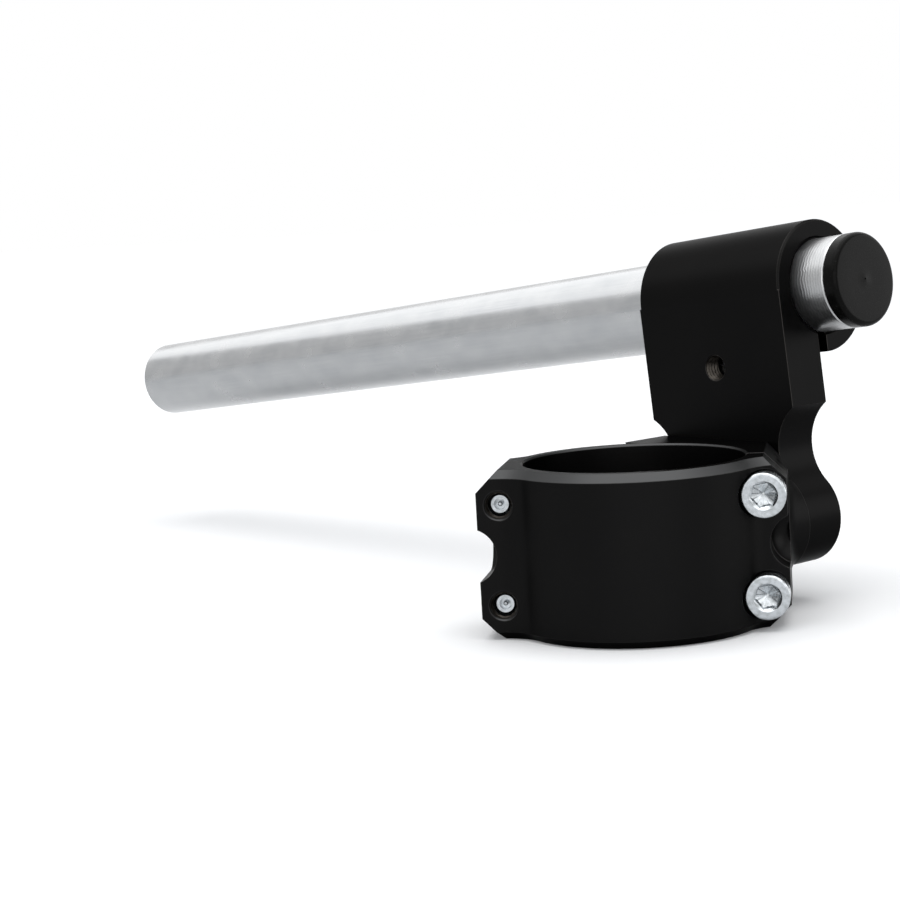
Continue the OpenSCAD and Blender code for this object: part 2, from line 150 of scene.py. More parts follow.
def turned_piece(name, radius, height, matrix, material):
    """Closed turned mesh: x = r cos a, y = r sin a, z = h on a grid of rows by angles.

    radius and height are arrays of rows by angles, in mm. The first and last row have
    radius 0 and become one pole each, so the mesh has no hole.
    """
    rows, cols = radius.shape
    angle = np.linspace(0, 2 * np.pi, cols, endpoint=False)
    x = radius[1:-1] * np.cos(angle)
    y = radius[1:-1] * np.sin(angle)
    inner = np.stack([x, y, height[1:-1]], axis=-1).reshape(-1, 3)
    poles = np.array([[0, 0, height[0, 0]], [0, 0, height[-1, 0]]])
    verts = np.concatenate([inner, poles]) * MM
    first_pole = len(inner)
    last_pole = first_pole + 1
    k = np.arange(cols)
    nxt = (k + 1) % cols
    r = np.arange(rows - 3)[:, None] * cols
    quads = np.stack([r + k, r + nxt, r + cols + nxt, r + cols + k], axis=-1).reshape(-1, 4)
    last = (rows - 3) * cols
    fans = [np.stack([np.full(cols, first_pole), nxt, k], axis=-1)]
    fans.append(np.stack([np.full(cols, last_pole), last + k, last + nxt], axis=-1))
    tris = np.concatenate(fans)
    mesh = bpy.data.meshes.new(name)
    mesh.from_pydata(verts.tolist(), [], quads.tolist() + tris.tolist())
    length = profile_length(radius[:, 0], height[:, 0])
    u_quad = np.stack([k, k + 1, k + 1, k], axis=-1) / cols
    u_quad = np.tile(u_quad, (rows - 3, 1))
    row_of = np.repeat(np.arange(rows - 3), cols) + 1
    v_quad = np.stack([length[row_of], length[row_of], length[row_of + 1], length[row_of + 1]], -1)
    u_tri = np.concatenate([
        np.stack([k + 0.5, k + 1, k], -1) / cols, np.stack([k + 0.5, k, k + 1], -1) / cols
    ])
    ends = [(length[0], length[1]), (length[-1], length[-2])]
    v_tri = np.concatenate([np.tile([a, b, b], (cols, 1)) for a, b in ends])
    uv = np.concatenate([
        np.stack([u_quad, v_quad], -1).reshape(-1, 2), np.stack([u_tri, v_tri], -1).reshape(-1, 2)
    ])
    layer = mesh.uv_layers.new(name="turned")
    layer.data.foreach_set("uv", uv.astype(np.float32).ravel())
    return finished(name, mesh, matrix, material)


def hexagon(angle, across):
    """Distance from the centre to a hexagon's side: half the width over cos of the wrapped angle."""
    wrapped = np.mod(angle, np.pi / 3) - np.pi / 6
    return across / 2 / np.cos(wrapped)


# %% [markdown]
# ## Finishes
#
# Five finishes cover the product. Each is a Principled shader fed by a few procedural
# patterns. Black anodising is a thin dyed oxide on aluminium, so it is treated as a very
# dark metal with a satin surface: it mirrors little from the front and much at a glancing
# angle, which is why upward faces look pale grey in daylight.

# %% Node helper
def new_material(name, base, metallic, roughness):
    """Material with a Principled shader, and a short way to add and link nodes."""
    material = bpy.data.materials.new(name)
    material.use_nodes = True
    tree = material.node_tree
    shader = tree.nodes["Principled BSDF"]
    shader.inputs["Base Color"].default_value = (*base, 1)
    shader.inputs["Metallic"].default_value = metallic
    shader.inputs["Roughness"].default_value = roughness
    return material, tree, shader


def add(tree, kind, **values):
    """New node of that kind. Values set its properties, or its sockets where a name matches."""
    node = tree.nodes.new(kind)
    for key, value in values.items():
        if key in node.inputs:
            node.inputs[key].default_value = value
        else:
            setattr(node, key, value)
    return node


def ramp(tree, source, low, high, start=0.0, end=1.0):
    """Maps source from start..end to low..high."""
    node = add(tree, "ShaderNodeMapRange")
    node.inputs["From Min"].default_value = start
    node.inputs["From Max"].default_value = end
    node.inputs["To Min"].default_value = low
    node.inputs["To Max"].default_value = high
    tree.links.new(source, node.inputs["Value"])
    return node.outputs["Result"]


def mix_colour(tree, factor, first, second):
    """Colour between first and second by factor; each may be a socket or three numbers."""
    # a Mix node has several pairs of inputs: 6 and 7 are the colours, and output 2 their mix
    node = add(tree, "ShaderNodeMix", data_type="RGBA")
    tree.links.new(factor, node.inputs["Factor"])
    for value, socket in ((first, node.inputs[6]), (second, node.inputs[7])):
        if isinstance(value, tuple):
            socket.default_value = (*value, 1)
        else:
            tree.links.new(value, socket)
    return node.outputs[2]


# %% [markdown]
# Wear, machining and painted highlights follow the shape: a rim, a hole's mouth, a distance.
# Painting them by hand would tie them to one mesh, so they are computed instead, from where a
# point is and which way its face looks.

# %% Masks from places and directions
def calc(tree, operation, first, second=None):
    """Math node on one or two sockets or numbers."""
    node = add(tree, "ShaderNodeMath", operation=operation)
    for value, socket in zip((first, second), node.inputs):
        if value is None:
            continue
        if isinstance(value, (int, float)):
            socket.default_value = value
        else:
            tree.links.new(value, socket)
    return node.outputs["Value"]


def near(tree, value, wanted, margin):
    """1 where value is within margin of wanted, else 0."""
    return calc(tree, "LESS_THAN", calc(tree, "ABSOLUTE", calc(tree, "SUBTRACT", value, wanted)), margin)


def object_place(tree):
    """Object coordinates, and their x, y and z by themselves."""
    coords = add(tree, "ShaderNodeTexCoord").outputs["Object"]
    split = add(tree, "ShaderNodeSeparateXYZ")
    tree.links.new(coords, split.inputs["Vector"])
    return coords, split.outputs


def true_normal(tree):
    """The face's own normal, and its x, y and z by themselves."""
    normal = add(tree, "ShaderNodeNewGeometry").outputs["True Normal"]
    split = add(tree, "ShaderNodeSeparateXYZ")
    tree.links.new(normal, split.inputs["Vector"])
    return normal, split.outputs


def distance_to(tree, coords, centre):
    """Distance in metres from each point to centre, given in mm."""
    node = add(tree, "ShaderNodeVectorMath", operation="DISTANCE")
    tree.links.new(coords, node.inputs[0])
    node.inputs[1].default_value = tuple(v * MM for v in centre)
    return node.outputs["Value"]


# %% [markdown]
# ### Black anodised aluminium
#
# The riser's black is a little darker than that of the clamp halves. The chamfered rims on
# top and the mouths of the tapped holes are paler, partly as cuts made last and partly as a
# painted highlight of the light from above. Such cuts have their own slope, so the mask asks
# each face for its true normal: on a 45 degree rim its z part is 0.707. Edges are softened by
# the Bevel node, and where its rounded normal leaves the true one, the colour is paler: partly
# worn dye, partly a painted highlight along the edge.

# %% Black anodised aluminium
EDGE_R = 0.3 * MM
RIM_FROM_Z = 16.5 * MM
RIM_SLOPE = math.sqrt(0.5)
MOUTH_REACH = 4.6 * MM
PALE_CUT_AND_HIGHLIGHT = (0.034, 0.0345, 0.035)


def black_anodised(name, base, cut, edge_wear_and_highlight, glint=0.5):
    """Near-black satin metal; pale cuts and edges that are partly wear and partly painted highlights;
    drifting colour and etched grain.
    """
    material, tree, shader = new_material(name, (base,) * 3, 1.0, 0.36)
    link = tree.links.new
    shader.inputs["Specular Tint"].default_value = (glint, glint, glint, 1)
    coords, place = object_place(tree)
    bevel = add(tree, "ShaderNodeBevel", samples=8, Radius=EDGE_R)
    normal, slope = true_normal(tree)
    dot = add(tree, "ShaderNodeVectorMath", operation="DOT_PRODUCT")
    link(bevel.outputs["Normal"], dot.inputs[0])
    link(normal, dot.inputs[1])
    edge = ramp(tree, dot.outputs["Value"], 1.0, 0.0, 0.82, 0.99)
    cloud = add(tree, "ShaderNodeTexNoise", Scale=55.0, Detail=4.0)
    link(coords, cloud.inputs["Vector"])
    dark = tuple(base * v for v in (0.90, 0.90, 0.92))
    pale = tuple(base * v for v in (1.14, 1.12, 1.10))
    colour = mix_colour(tree, cloud.outputs["Fac"], dark, pale)
    # pale top rims and hole mouths: partly paler cuts, partly a painted highlight of the light from
    # above
    if cut is not None:
        colour = mix_colour(tree, cut(tree, coords, place, slope), colour, PALE_CUT_AND_HIGHLIGHT)
    # paler edges: partly worn dye, partly a painted highlight along them
    colour = mix_colour(tree, edge, colour, edge_wear_and_highlight)
    link(colour, shader.inputs["Base Color"])
    grain = add(tree, "ShaderNodeTexNoise", Scale=9000.0, Detail=2.0)
    link(coords, grain.inputs["Vector"])
    rough = ramp(tree, grain.outputs["Fac"], 0.30, 0.42, 0.3, 0.7)
    link(rough, shader.inputs["Roughness"])
    bump = add(tree, "ShaderNodeBump", Strength=0.10, Distance=0.02 * MM)
    link(grain.outputs["Fac"], bump.inputs["Height"])
    link(bevel.outputs["Normal"], bump.inputs["Normal"])
    link(bump.outputs["Normal"], shader.inputs["Normal"])
    return material


def clamp_cuts_and_highlights(tree, coords, place, slope):
    """Pale where the slope is that of a chamfered rim on top, or inside a tapped hole's mouth: partly a
    paler cut, partly a painted highlight.
    """
    rim = near(tree, calc(tree, "ABSOLUTE", slope["Z"]), RIM_SLOPE, 0.03)
    rim = calc(tree, "MULTIPLY", rim, calc(tree, "GREATER_THAN", place["Z"], RIM_FROM_Z))
    across = calc(tree, "SUBTRACT", calc(tree, "ABSOLUTE", place["X"]), CLAMP_SCREW_X * MM)
    up = calc(tree, "SUBTRACT", calc(tree, "ABSOLUTE", place["Z"]), CLAMP_SCREW_Z * MM)
    squares = calc(tree, "ADD", calc(tree, "MULTIPLY", across, across), calc(tree, "MULTIPLY", up, up))
    close = calc(tree, "LESS_THAN", squares, MOUTH_REACH ** 2)
    mouth = calc(tree, "MULTIPLY", close, near(tree, calc(tree, "ABSOLUTE", slope["Y"]), 0.7, 0.12))
    return calc(tree, "MAXIMUM", rim, mouth)


CLAMP_BLACK = black_anodised("clamp_black", 0.0076, clamp_cuts_and_highlights, (0.045, 0.044, 0.043))
# the riser's black is a little darker than that of the clamp halves
RISER_BLACK = black_anodised("riser_black", 0.0066, None, (0.040, 0.038, 0.036))
print("finishes:", CLAMP_BLACK.name, RISER_BLACK.name)

# %% [markdown]
# ### Satin aluminium of the bar
#
# The bar was drawn through a die, so it has fine lines along its length, and it lay against
# other bars, so it is a little cloudy. Its inboard end was turned down to fit the housing:
# there the tool left rings, and it chattered, so the rings are wavy. The surface's own UV
# map tells both apart, because v is the distance from the inboard end in mm.

# %% Satin aluminium of the bar
TURNED_TO = 9.5
RING_STEP = 0.8


def bar_satin():
    """Drawn tube with lengthwise lines; wavy turned rings on the first millimetres."""
    material, tree, shader = new_material("bar_satin", (0.35, 0.36, 0.37), 1.0, 0.24)
    link = tree.links.new
    uv = add(tree, "ShaderNodeUVMap", uv_map="turned").outputs["UV"]

    def noise(scale_u, scale_v, detail):
        """Noise stretched over the turn and along the length."""
        stretch = add(tree, "ShaderNodeMapping")
        stretch.inputs["Scale"].default_value = (scale_u, scale_v, 1.0)
        link(uv, stretch.inputs["Vector"])
        node = add(tree, "ShaderNodeTexNoise", Scale=1.0, Detail=detail)
        link(stretch.outputs["Vector"], node.inputs["Vector"])
        return node.outputs["Fac"]

    lines = noise(240.0, 0.04, 4.0)
    cloud = noise(9.0, 0.09, 3.0)
    fine = noise(130.0, 1.6, 2.0)
    along_bar = add(tree, "ShaderNodeSeparateXYZ")
    link(uv, along_bar.inputs["Vector"])
    v = along_bar.outputs["Y"]
    turned = ramp(tree, v, 1.0, 0.0, TURNED_TO, TURNED_TO + 0.4)
    # rings one RING_STEP apart, pushed to and fro by a noise round the bar
    chatter = calc(tree, "MULTIPLY", noise(46.0, 0.25, 2.0), 1.5)
    phase = calc(tree, "ADD", calc(tree, "MULTIPLY", v, 1 / RING_STEP), chatter)
    rings = calc(tree, "SINE", calc(tree, "MULTIPLY", phase, 2 * math.pi))
    ring_height = calc(tree, "MULTIPLY", ramp(tree, rings, 0.0, 1.0, -1.0, 1.0), turned)
    drawn_height = calc(tree, "MULTIPLY", lines, calc(tree, "SUBTRACT", 1.0, turned))
    drawn_height = calc(tree, "MULTIPLY", drawn_height, 0.35)
    height = calc(tree, "ADD", drawn_height, calc(tree, "MULTIPLY", ring_height, 1.7))
    grey = calc(tree, "ADD", calc(tree, "MULTIPLY", lines, 0.35), calc(tree, "MULTIPLY", cloud, 0.65))
    grey = ramp(tree, grey, 0.0, 1.0, 0.3, 0.7)
    drawn = mix_colour(tree, grey, (0.315, 0.325, 0.335), (0.40, 0.405, 0.41))
    worn = mix_colour(tree, fine, (0.24, 0.25, 0.26), (0.42, 0.42, 0.42))
    worn = mix_colour(tree, ring_height, worn, (0.38, 0.385, 0.39))
    colour = mix_colour(tree, turned, drawn, worn)
    link(colour, shader.inputs["Base Color"])
    soft = ramp(tree, cloud, 0.19, 0.29, 0.3, 0.7)
    rough = calc(tree, "ADD", soft, calc(tree, "MULTIPLY", turned, 0.08))
    link(rough, shader.inputs["Roughness"])
    bump = add(tree, "ShaderNodeBump", Strength=0.35, Distance=0.03 * MM)
    link(height, bump.inputs["Height"])
    link(bump.outputs["Normal"], shader.inputs["Normal"])
    return material


BAR = bar_satin()
print("finish:", BAR.name)

# %% [markdown]
# ### Black plastic of the plug
#
# The plug is moulded. Its skin is half glossy, with a faint orange peel, and it has fine
# scratches from being knocked in. It is blacker than the anodised pieces, so both its colour
# and the strength of its reflection are low.

# %% Half-gloss black plastic of the plug
def plug_plastic():
    """Moulded plastic: dark and half glossy; scratches are a thin stretched noise."""
    material, tree, shader = new_material("plug_black", (0.003, 0.003, 0.0028), 0.0, 0.30)
    link = tree.links.new
    shader.inputs["IOR"].default_value = 1.46
    shader.inputs["Specular IOR Level"].default_value = 0.05
    coords = add(tree, "ShaderNodeTexCoord").outputs["Object"]
    peel = add(tree, "ShaderNodeTexNoise", Scale=1400.0, Detail=2.0)
    link(coords, peel.inputs["Vector"])
    stretch = add(tree, "ShaderNodeMapping")
    stretch.inputs["Rotation"].default_value = (0.5, 0.9, 0.3)
    stretch.inputs["Scale"].default_value = (300.0, 4000.0, 4000.0)
    link(coords, stretch.inputs["Vector"])
    scratch = add(tree, "ShaderNodeTexNoise", Scale=1.0, Detail=1.0)
    link(stretch.outputs["Vector"], scratch.inputs["Vector"])
    thin = ramp(tree, scratch.outputs["Fac"], 0.0, 1.0, 0.66, 0.74)
    colour = mix_colour(tree, thin, (0.003, 0.003, 0.0028), (0.012, 0.012, 0.011))
    link(colour, shader.inputs["Base Color"])
    link(ramp(tree, peel.outputs["Fac"], 0.18, 0.28, 0.3, 0.7), shader.inputs["Roughness"])
    bump = add(tree, "ShaderNodeBump", Strength=0.04, Distance=0.03 * MM)
    link(peel.outputs["Fac"], bump.inputs["Height"])
    link(bump.outputs["Normal"], shader.inputs["Normal"])
    return material


PLASTIC = plug_plastic()
print("finish:", PLASTIC.name)

# %% [markdown]
# ### Bright zinc of the screws
#
# Zinc is plated over a turned and pressed surface, so the rings of the tool still show, and
# the bright metal is a little blue. Low places such as the socket keep a thicker and darker
# passivation, which a mask by depth could give; here the socket's own many reflections
# darken it enough.

# %% Bright zinc of the screws
def screw_zinc():
    """Zinc on steel: bright, faintly blue, with rings left by turning and small dull spots."""
    material, tree, shader = new_material("screw_zinc", (0.52, 0.54, 0.56), 1.0, 0.22)
    link = tree.links.new
    uv = add(tree, "ShaderNodeUVMap", uv_map="turned").outputs["UV"]
    coords = add(tree, "ShaderNodeTexCoord").outputs["Object"]
    stretch = add(tree, "ShaderNodeMapping")
    stretch.inputs["Scale"].default_value = (3.0, 9.0, 1.0)
    link(uv, stretch.inputs["Vector"])
    rings = add(tree, "ShaderNodeTexNoise", Scale=1.0, Detail=3.0)
    link(stretch.outputs["Vector"], rings.inputs["Vector"])
    spots = add(tree, "ShaderNodeTexNoise", Scale=900.0, Detail=3.0)
    link(coords, spots.inputs["Vector"])
    dull = ramp(tree, spots.outputs["Fac"], 0.0, 1.0, 0.40, 0.70)
    colour = mix_colour(tree, rings.outputs["Fac"], (0.40, 0.43, 0.455), (0.58, 0.60, 0.62))
    colour = mix_colour(tree, dull, colour, (0.34, 0.36, 0.37))
    link(colour, shader.inputs["Base Color"])
    rough = ramp(tree, rings.outputs["Fac"], 0.15, 0.27, 0.3, 0.7)
    link(calc(tree, "ADD", rough, calc(tree, "MULTIPLY", dull, 0.06)), shader.inputs["Roughness"])
    bump = add(tree, "ShaderNodeBump", Strength=0.3, Distance=0.03 * MM)
    link(rings.outputs["Fac"], bump.inputs["Height"])
    link(bump.outputs["Normal"], shader.inputs["Normal"])
    return material


ZINC = screw_zinc()
print("finish:", ZINC.name)

# %% [markdown]
# ## Milled pieces
#
# The riser and the clamp halves are milled from bar, and their solids already have every
# face, fillet and chamfer. They keep their meshes and only get the black finish.

# %% Finish of the milled pieces
MILLED = {"riser": RISER_BLACK, "clamp_inner_half": CLAMP_BLACK, "clamp_outer_half": CLAMP_BLACK}
for node, finish in MILLED.items():
    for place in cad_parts[node].material_slots:
        place.material = finish

# %% [markdown]
# ## Flare beside the flange
#
# Beyond the flange's end, the boss that carries the riser's foot stands out as a round
# lobe, and a ball-ended cutter left a hollow fillet between the two. In each radial plane
# of the lobe this is a simple figure: the lobe's side, an arc, and the end face. So the
# figure is computed for all angles at once, and the figures are joined into one closed
# body that ends in two points.

# %% Flare beside the flange
FLANGE_X = 34.0
LOBE_OUT = 12.0
FLARE_R = 7.0
SUNK = 0.03
FLARE_HALF = math.radians(56.0)
FLARE_MIDDLE = math.radians(-3.0)
FLARE_SHARP = math.radians(35)


def flare_sections(angles, arc_steps=14):
    """Per angle: the loop rim, lobe side, arc, end face, in the riser's frame in mm.

    The end face is a plane x = FLANGE_X of the model. In the radial plane at angle f it is
    the line w = w0 + k r. An arc of radius q touches the line r = LOBE_OUT and that line.
    The body stays SUNK under the seat's face and inside the end face, so no faces coincide.
    """
    ax, ay, az = (RISER[0][col] for col in range(3))
    base = RISER[0][3] / MM
    cos, sin = np.cos(angles), np.sin(angles)
    w0 = (FLANGE_X - SUNK - base - ax * FOOT_SCREW_HALF) / ay
    k = -(ax * cos + az * sin) / ay
    root = np.hypot(1, k)
    corner = w0 + k * LOBE_OUT
    room = np.maximum(-0.05 - corner, 0.0) / (root + k)
    q = np.minimum(FLARE_R, 0.9 * room) + 0.001
    centre_r = LOBE_OUT + q
    centre_w = w0 + k * centre_r + q * root
    stop = np.arctan2(-1 / root, k / root) + 2 * np.pi
    share = np.linspace(0, 1, arc_steps)[:, None]
    turn = np.pi + share * (stop - np.pi)
    arc_r = centre_r + q * np.cos(turn)
    arc_w = centre_w + q * np.sin(turn)
    rim_w = np.full_like(angles, -SUNK)
    inner = (rim_w - w0) / k
    r = np.concatenate([[inner], [np.full_like(angles, LOBE_OUT)], arc_r])
    w = np.concatenate([[rim_w], [rim_w], arc_w])
    return np.stack([FOOT_SCREW_HALF + r * cos, w, r * sin], -1)


def flare_piece():
    """Closed body from the sections: rows along the loop, columns along the angle."""
    grid = flare_sections(FLARE_MIDDLE + FLARE_HALF * np.linspace(-1, 1, 81))
    rows, cols, _ = grid.shape
    index = np.arange(rows * cols).reshape(rows, cols)
    below = np.roll(index, -1, axis=0)
    quads = np.stack([index[:, :-1], index[:, 1:], below[:, 1:], below[:, :-1]], -1).reshape(-1, 4)
    caps = [index[:, 0].tolist(), index[::-1, -1].tolist()]
    mesh = bpy.data.meshes.new("seat_flare")
    mesh.from_pydata((grid.reshape(-1, 3) * MM).tolist(), [], quads.tolist() + caps)
    mesh.transform(RISER)
    shell = bmesh.new()
    shell.from_mesh(mesh)
    bmesh.ops.recalc_face_normals(shell, faces=shell.faces)
    shell.to_mesh(mesh)
    shell.free()
    stay = Matrix.Identity(4)
    return finished("seat_flare", mesh, stay, CLAMP_BLACK, FLARE_SHARP)


flare_piece()

# %% [markdown]
# ## Bar tube
#
# A drawn tube is a ring-shaped profile carried along a straight line. Both walls and both
# ends belong to one closed surface, so the profile runs out along the outside, over the
# end, back along the bore, and over the other end.

# %% Bar tube
BAR_START = BAR_POKE + RISER_W / 2
BAR_AXIS = RISER @ along((BAR_START, HOUSING_R, BAR_RISE), (-1, 0, 0))


def tube_profile(edge=0.5):
    """Radius and height along the outside, over the far end, back in the bore, to the start."""
    seat_r = BAR_R - SEAT_UNDER
    bore = BAR_R - BAR_WALL
    mouth = bore + PLUG_SEAT_OVER / 2
    turned = np.linspace(edge, SEAT_LEN - 0.1, 60)
    drawn = np.linspace(SEAT_LEN, BAR_LEN - edge, 24)
    outside = [(seat_r - edge, 0.0)] + [(seat_r, h) for h in turned] + [(BAR_R, h) for h in drawn]
    end = [(BAR_R - edge, BAR_LEN), (bore + edge, BAR_LEN), (bore, BAR_LEN - edge)]
    inside = [(bore, PLUG_SEAT_LEN), (mouth, PLUG_SEAT_LEN - 0.2), (mouth, edge), (mouth + edge, 0)]
    return np.array(outside + end + inside)


def ring_piece(name, radius, height, matrix, material):
    """Ring closed both ways: x = r cos a, y = r sin a, z = h, last row joined to the first."""
    rows, cols = radius.shape
    angle = np.linspace(0, 2 * np.pi, cols, endpoint=False)
    grid = np.stack([radius * np.cos(angle), radius * np.sin(angle), height], -1)
    k, nxt = np.arange(cols), (np.arange(cols) + 1) % cols
    a = (np.arange(rows) * cols)[:, None]
    b = (((np.arange(rows) + 1) % rows) * cols)[:, None]
    quads = np.stack([a + k, a + nxt, b + nxt, b + k], -1).reshape(-1, 4)
    mesh = bpy.data.meshes.new(name)
    mesh.from_pydata((grid.reshape(-1, 3) * MM).tolist(), [], quads.tolist())
    run = np.concatenate([profile_length(radius[:, 0], height[:, 0]), [0.0]])
    run[-1] = run[-2] + 1.0
    u = np.tile(np.stack([k, k + 1, k + 1, k], -1) / cols, (rows, 1))
    v0 = np.repeat(run[:-1], cols)
    v1 = np.repeat(run[1:], cols)
    uv = np.stack([u, np.stack([v0, v0, v1, v1], -1)], -1)
    mesh.uv_layers.new(name="turned").data.foreach_set("uv", uv.astype(np.float32).ravel())
    return finished(name, mesh, matrix, material)


def even_rows(profile, cols):
    """The same radius and height at every angle: a plain turned form."""
    radius = np.repeat(profile[:, :1], cols, 1)
    height = np.repeat(profile[:, 1:2], cols, 1)
    return radius, height


bar_r, bar_h = even_rows(tube_profile(), 192)
bar_tube = ring_piece("bar_tube", bar_r, bar_h, BAR_AXIS, BAR)
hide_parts("handlebar_tube")

# %% [markdown]
# ## End plug
#
# The plug is moulded: a disc with a well rounded rim, a small mark in the middle where the
# plastic went in, and a stem in the tube that nobody sees.

# %% End plug
def arc(centre_r, centre_h, radius, start, end, count):
    """Points of an arc in the profile plane: centre plus radius times cos and sin."""
    t = np.radians(np.linspace(start, end, count))
    return np.stack([centre_r + radius * np.cos(t), centre_h + radius * np.sin(t)], -1)


def plug_profile():
    """Profile from the middle of the face, over the rim, down to the stem's tip."""
    head_t, rim, r = 3.5, 1.2, 10.9
    stem_r, stem_end = 7.45, -12.0
    face = [(0.0, head_t - 0.2), (0.18, head_t - 0.2), (0.26, head_t + 0.03), (0.4, head_t + 0.03)]
    face += [(0.55, head_t), (3.0, head_t), (6.0, head_t)]
    edge = arc(r - rim, head_t - rim, rim, 90, 0, 13)
    under = [(r, 0.6), (r, 0.1), (r - 0.1, 0.0), (stem_r, 0.0), (stem_r, stem_end + 1)]
    under += [(stem_r - 0.95, stem_end), (0, stem_end)]
    return np.concatenate([face, edge, under])


PLUG_AXIS = RISER @ along((BAR_START, HOUSING_R, BAR_RISE), (1, 0, 0))
plug_r, plug_h = even_rows(plug_profile()[::-1], 144)
bar_plug = turned_piece("bar_plug", plug_r, plug_h, PLUG_AXIS, PLASTIC)
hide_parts("bar_end_plug")

# %% [markdown]
# ## Screws
#
# A cap screw is turned, its socket is pressed and its thread rolled. The socket is a
# hexagon with a drilled cone below it, so along the profile the radius goes from round to
# hexagonal and back. The thread is a wave that climbs one pitch in each turn. Only the
# stretch that can be seen at the tip gets it; the rest is hidden in its hole.

# %% Thread and plain rows
HEAD_COLS = 240
M6_R = 3.0
M6_PITCH = 1.0
THREAD_DEPTH = 0.6
THREAD_STEPS = 10


def plain_rows(points):
    """Rows of circles: one radius and one height for all angles, in mm."""
    return [(np.full(HEAD_COLS, float(r)), np.full(HEAD_COLS, float(h))) for r, h in points]


def thread_rows(angle, crest, pitch, start, end):
    """Thread: radius = crest minus THREAD_DEPTH pitch times a triangle wave of height and turn."""
    count = int(round((start - end) / pitch * THREAD_STEPS))
    rows = []
    for h in np.linspace(start, end, count):
        fade = min(1.0, (start - h) / pitch, (h - end) / (0.5 * pitch) + 0.25)
        phase = np.mod(h / pitch - angle / (2 * np.pi), 1.0)
        wave = np.clip(np.abs(phase - 0.5) * 2.3 - 0.1, 0, 1)
        rows.append((crest - THREAD_DEPTH * pitch * fade * wave, np.full_like(angle, h)))
    return rows


def screw_from_rows(name, node, rows, matrix):
    """Rows from the socket to the tip as a zinc piece that stands for the plain solid."""
    radius = np.stack([r for r, _ in rows])
    height = np.stack([h for _, h in rows])
    piece = turned_piece(name, radius[::-1], height[::-1], matrix, ZINC)
    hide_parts(node)
    return piece


# %% [markdown]
# The cap screw's profile starts in the middle of the socket's floor, climbs the hexagon, rolls
# over the head, runs down the knurl and along the shank, and ends in the cup at the tip.

# %% Cap screw
CAP_R = 5.0
CAP_H = 6.0
CAP_ACROSS = 5.0
CAP_SOCKET = 3.0
CAP_ROUND = 0.45
KNURL_TEETH = 60
KNURL_DEPTH = 0.12
TIP = [(2.5, 0.5), (1.98, 0.0), (1.35, 0.0), (1.3, 2.2), (0.6, 2.2), (0.5, 0.4), (0.3, 0.2), (0, 0.2)]


def cap_screw(name, node, length, matrix, thread_from=None):
    """M6 cap screw on z: bearing face at 0, head above to CAP_H, shank below to -length."""
    angle = np.linspace(0, 2 * np.pi, HEAD_COLS, endpoint=False)
    ones = np.ones_like(angle)
    half = CAP_ACROSS / 2
    hexa = hexagon(angle, CAP_ACROSS)
    floor_h = CAP_H - CAP_SOCKET
    rows = plain_rows([(0, floor_h - 1.2), (0.35, floor_h - 1.05), (half * 0.985, floor_h - 0.1)])
    rows.append((hexa * 0.99, floor_h * ones))
    rows.append((hexa, (CAP_H - 0.62 + 0.8 * (hexa - half)) * ones))
    rows += plain_rows([(3.12, CAP_H - 0.05)] + [(r, CAP_H) for r in (3.2, 3.6, 4.0, 4.4)])
    rows += plain_rows(arc(CAP_R - CAP_ROUND, CAP_H - CAP_ROUND, CAP_ROUND, 90, 10, 7))
    # knurl: a triangle wave round the head, run out at both ends
    wave = np.abs(np.mod(angle * KNURL_TEETH / (2 * np.pi), 1.0) - 0.5) * 2
    for h, share in ((5.3, 0), (5.1, 1), (4.0, 1), (2.5, 1), (1.2, 1), (0.9, 0)):
        rows.append((CAP_R - KNURL_DEPTH * share * wave, h * ones))
    rows += plain_rows([(CAP_R, 0.3), (CAP_R - 0.3, 0.0), (M6_R + 0.4, 0.0), (M6_R, -0.4)])
    if thread_from is not None:
        rows += thread_rows(angle, M6_R, M6_PITCH, -thread_from, 0.75 - length)
    else:
        rows += plain_rows([(M6_R, 0.75 - length)])
    rows += plain_rows([(r, h - length) for r, h in TIP])
    return screw_from_rows(name, node, rows, matrix)


# %% [markdown]
# The two inboard screws have their heads on the loose half, in view. The two outboard ones come
# from behind, and only their tips show, so they alone get a thread. No two screws stop at the
# same angle, so each is turned by its own amount.

# %% Clamp screws and pinch screw
for side, side_name in ((1, "inboard"), (-1, "outboard")):
    for level, level_name in ((1, "upper"), (-1, "lower")):
        seat = (side * CLAMP_SCREW_X, -side * THIN_FLANGE_T, level * CLAMP_SCREW_Z)
        spin = math.radians(17 + 23 * side + 31 * level)
        place = along(seat, (0, -side, 0), spin)
        label = f"{side_name}_{level_name}"
        shows = 14.0 if side < 0 else None
        cap_screw("cap_screw_" + label, "clamp_screw_" + label, 20.0, place, shows)

cap_screw(
    "cap_screw_pinch", "pinch_screw", 16.0,
    RISER @ along((0, JAW_FRONT, PINCH_Z), (0, 1, 0), math.radians(9)),
)

# %% [markdown]
# The riser is held by three countersunk screws, whose heads lie a little below its front. Such
# a screw is a flat ring round a hexagon, a cone under it, and a shank that nobody sees.

# %% Countersunk screw
def flat_screw(name, node, d, head_d, across, length, matrix):
    """Countersunk screw on z: flat face at 0, cone and shank below."""
    angle = np.linspace(0, 2 * np.pi, HEAD_COLS, endpoint=False)
    ones = np.ones_like(angle)
    half = across / 2
    hexa = hexagon(angle, across)
    depth = 0.55 * across
    edge_r = head_d / 2
    cone = edge_r - 0.15 - d / 2
    rows = plain_rows([(0, -depth - 1.0), (half * 0.98, -depth - 0.1)])
    rows.append((hexa * 0.99, -depth * ones))
    rows.append((hexa, -0.3 * ones))
    rows.append((np.maximum(hexa, half + 0.2), -0.02 * ones))
    rows += plain_rows([(r, 0) for r in np.linspace(half + 0.6, edge_r - 0.2, 6)])
    rows += plain_rows([(edge_r, -0.15), (d / 2, -0.15 - cone - 0.15), (d / 2, 1 - length)])
    rows += plain_rows([(d / 2 - 1, -length), (0, -length)])
    return screw_from_rows(name, node, rows, matrix)


